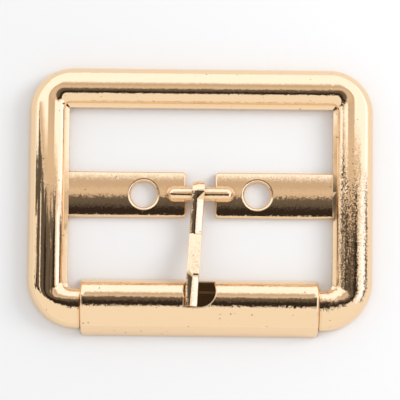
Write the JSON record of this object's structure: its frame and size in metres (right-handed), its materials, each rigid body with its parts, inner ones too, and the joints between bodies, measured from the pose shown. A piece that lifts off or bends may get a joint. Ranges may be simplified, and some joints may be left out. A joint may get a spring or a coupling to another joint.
{
  "type": "centre-bar belt buckle",
  "caption": "Rectangular centre-bar belt buckle with a domed frame, drilled centre plates, a notched sleeve on the front bar and a hinged prong.",
  "frame": {"origin": "under the middle of the whole buckle's box, on the plane of its flat back", "axes": "+X across the strap, +Y along the strap from the prong's tip towards its eye, +Z out of the front"},
  "size_m": [0.066, 0.0514, 0.0066],
  "materials": {
    "frame_plating": "pale gold electroplate on a zinc alloy casting, bright, with a fine orange peel, lengthwise polishing scratches and a few pits",
    "sleeve_plating": "pale gold electroplate, bright and smooth",
    "prong_plating": "pale gold electroplate, bright, with small pits"
  },
  "bodies": {
    "frame": {"frame": "frame_plating", "sleeve": "sleeve_plating"},
    "prong": {"prong": "prong_plating"}
  },
  "joints": [
    {"name": "prong_hinge", "type": "hinge", "parent": "frame", "child": "prong", "pos_m": [-0.00045, 0.0014, 0.0027], "axis": [-1, 0, 0], "range_deg": [0, 161]}
  ]
}
